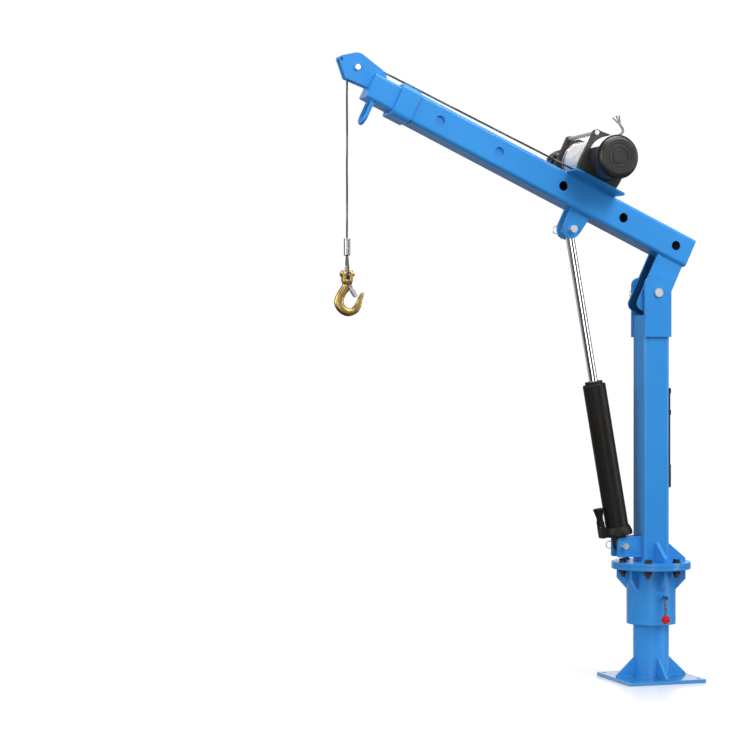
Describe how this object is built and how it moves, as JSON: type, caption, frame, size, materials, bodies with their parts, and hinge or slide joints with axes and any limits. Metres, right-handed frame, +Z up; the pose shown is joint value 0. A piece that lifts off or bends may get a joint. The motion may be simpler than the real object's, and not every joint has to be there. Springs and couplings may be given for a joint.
{
  "type": "truck-mounted crane",
  "caption": "Swivelling pillar crane with a hydraulic ram, a telescoping box boom, an electric rope winch and a latched hook, on a square bolt-down base plate.",
  "frame": {"origin": "centre of the base plate underside, on the swivel axis", "axes": "+Z up along the swivel axis, +X the way the boom points at rest, +Y the side with the winch gearbox and the lock lever"},
  "size_m": [1.0642, 0.418, 1.7421],
  "materials": {
    "blue_paint": "satin blue enamel",
    "ram_black": "gloss black enamel",
    "hard_chrome": "polished",
    "bright_steel": "zinc plated",
    "black_bolts": "black oxide",
    "winch_black": "black powder coat",
    "motor_black": "gloss black",
    "wire_rope": "bright strand",
    "gold_zinc": "yellow passivated zinc",
    "red_knob": "polished",
    "bush_bronze": "plain"
  },
  "bodies": {
    "base": {"base_plate": "blue_paint", "base_post": "blue_paint", "base_gussets": "blue_paint"},
    "column": {"swivel_sleeve": "blue_paint", "swivel_bushes": "bush_bronze", "sleeve_flange": "blue_paint", "sleeve_gussets": "blue_paint", "mast_flange": "blue_paint", "flange_bolts": "black_bolts", "flange_nuts": "black_bolts", "mast_tube": "blue_paint", "mast_gussets": "blue_paint", "mast_clevis_plates": "blue_paint", "boom_pivot_pin": "bright_steel", "ram_lower_ears": "blue_paint", "ram_lower_pin": "bright_steel", "handle_clips": "ram_black"},
    "lock_lever": {"lock_screw": "bright_steel", "lock_knob": "red_knob"},
    "stowed_handle": {"pump_handle": "ram_black"},
    "boom": {"boom_tube": "blue_paint", "boom_collar": "blue_paint", "boom_neck": "blue_paint", "ram_upper_ears": "blue_paint", "ram_upper_pin": "bright_steel", "winch_plate": "blue_paint", "winch_brackets": "winch_black", "winch_tie_rods": "bright_steel", "gearbox_housing": "motor_black", "gearbox_cap": "winch_black", "motor_housing": "motor_black", "motor_end_cap": "winch_black", "winch_screws": "bright_steel", "rope_run": "wire_rope"},
    "inner_boom": {"inner_boom_tube": "blue_paint", "head_plates": "blue_paint", "head_bolts": "bright_steel", "lifting_eye": "blue_paint"},
    "pulley": {"head_pulley": "bright_steel"},
    "drum": {"winch_drum": "bright_steel", "drum_rope": "wire_rope", "planet_carrier": "bright_steel"},
    "planet_1": {"planet_gear_1": "bright_steel"},
    "planet_2": {"planet_gear_2": "bright_steel"},
    "planet_3": {"planet_gear_3": "bright_steel"},
    "rotor": {"motor_rotor": "bright_steel"},
    "clutch": {"clutch_lever": "black_bolts"},
    "rope_hang": {"rope_fall": "wire_rope"},
    "hook_block": {"rope_ferrule": "wire_rope", "rope_thimble": "wire_rope"},
    "hook_body": {"hook": "gold_zinc", "hook_pin": "gold_zinc"},
    "latch": {"hook_latch": "gold_zinc"},
    "ram": {"ram_barrel": "ram_black", "ram_base": "ram_black", "ram_gland": "ram_black"},
    "rod": {"ram_rod": "hard_chrome"},
    "socket": {"pump_socket": "ram_black"},
    "plunger": {"pump_plunger": "hard_chrome"},
    "valve": {"release_valve": "bright_steel"}
  },
  "joints": [
    {"name": "mast_swivel", "type": "hinge", "parent": "base", "child": "column", "pos_m": [0, 0, 0.326], "axis": [0, 0, 1], "continuous": true},
    {"name": "lock_turn", "type": "hinge", "parent": "column", "child": "lock_lever", "pos_m": [0, 0.08, 0.24], "axis": [0, 1, 0], "range_deg": [-110, 110]},
    {"name": "handle_pull", "type": "slide", "parent": "column", "child": "stowed_handle", "axis": [-1, 0, 0], "range_m": [0, 0.15]},
    {"name": "boom_luff", "type": "hinge", "parent": "column", "child": "boom", "pos_m": [0, 0, 1.098], "axis": [0, -1, 0], "range_deg": [-79, 0]},
    {"name": "boom_extend", "type": "slide", "parent": "boom", "child": "inner_boom", "axis": [0.9063, 0, 0.4226], "range_m": [-0.03, 0.3], "deforming": ["rope_run"]},
    {"name": "ram_tilt", "type": "hinge", "parent": "column", "child": "ram", "pos_m": [0.0955, 0, 0.383], "axis": [0, 1, 0], "range_deg": [-0.5, 4.56]},
    {"name": "ram_extend", "type": "slide", "parent": "ram", "child": "rod", "axis": [0.1749, 0, 0.9846], "range_m": [-0.39193, 0.002]},
    {"name": "pump_stroke", "type": "hinge", "parent": "ram", "child": "socket", "pos_m": [0.15654, 0, 0.44935], "axis": [0, 1, 0], "range_deg": [0, 55]},
    {"name": "plunger_slide", "type": "slide", "parent": "ram", "child": "plunger", "axis": [-0.1749, 0, -0.9846], "range_m": [0, 0.006]},
    {"name": "valve_turn", "type": "hinge", "parent": "ram", "child": "valve", "pos_m": [0.1025, -0.05, 0.42238], "axis": [0, -1, 0], "range_deg": [0, 180]},
    {"name": "drum_spin", "type": "hinge", "parent": "boom", "child": "drum", "pos_m": [0.17826, 0, 1.4658], "axis": [0, -1, 0], "range_deg": [-301.56, 603.11]},
    {"name": "planet_spin_1", "type": "hinge", "parent": "drum", "child": "planet_1", "pos_m": [0.16812, 0.121, 1.48755], "axis": [0, -1, 0], "range_deg": [-1810.34, 905.67]},
    {"name": "planet_spin_2", "type": "hinge", "parent": "drum", "child": "planet_2", "pos_m": [0.1645, 0.121, 1.44614], "axis": [0, -1, 0], "range_deg": [-1810.34, 905.67]},
    {"name": "planet_spin_3", "type": "hinge", "parent": "drum", "child": "planet_3", "pos_m": [0.20217, 0.121, 1.46371], "axis": [0, -1, 0], "range_deg": [-1810.34, 905.67]},
    {"name": "rotor_spin", "type": "hinge", "parent": "boom", "child": "rotor", "pos_m": [0.17826, 0, 1.4658], "axis": [0, -1, 0], "range_deg": [-1207.23, 2413.45]},
    {"name": "clutch_turn", "type": "hinge", "parent": "boom", "child": "clutch", "pos_m": [0.15653, 0.124, 1.52187], "axis": [-0.4226, 0, 0.9063], "range_deg": [0, 90]},
    {"name": "pulley_spin", "type": "hinge", "parent": "inner_boom", "child": "pulley", "pos_m": [0.88054, 0, 1.70224], "axis": [0, -1, 0], "range_deg": [-1404.16, 702.58]},
    {"name": "rope_plumb", "type": "hinge", "parent": "inner_boom", "child": "rope_hang", "pos_m": [0.88054, 0, 1.70224], "axis": [0, -1, 0], "range_deg": [-0.5, 79.5]},
    {"name": "hook_hoist", "type": "slide", "parent": "rope_hang", "child": "hook_block", "axis": [0, 0, -1], "range_m": [-0.301, 0.601], "deforming": ["rope_fall"]},
    {"name": "hook_swing", "type": "hinge", "parent": "hook_block", "child": "hook_body", "pos_m": [0.90504, 0, 1.141], "axis": [1, 0, 0], "range_deg": [-60, 60]},
    {"name": "latch_swing", "type": "hinge", "parent": "hook_body", "child": "latch", "pos_m": [0.89704, 0, 1.107], "axis": [0, -1, 0], "range_deg": [0, 40], "stiffness_Nm_per_rad": 0.02, "springref_deg": -22.92}
  ],
  "couplings": [
    {"joint": "ram_tilt", "follows": "boom_luff", "ratio": -0.051355},
    {"joint": "ram_extend", "follows": "boom_luff", "m_per_rad": 0.2828},
    {"joint": "rope_plumb", "follows": "boom_luff", "ratio": -1},
    {"joint": "plunger_slide", "follows": "pump_stroke", "m_per_rad": 0.006},
    {"joint": "planet_spin_1", "follows": "drum_spin", "ratio": -3},
    {"joint": "planet_spin_2", "follows": "drum_spin", "ratio": -3},
    {"joint": "planet_spin_3", "follows": "drum_spin", "ratio": -3},
    {"joint": "rotor_spin", "follows": "drum_spin", "ratio": 4},
    {"joint": "pulley_spin", "follows": "drum_spin", "ratio": -2.3265},
    {"joint": "hook_hoist", "follows": "drum_spin", "m_per_rad": 0.057}
  ]
}
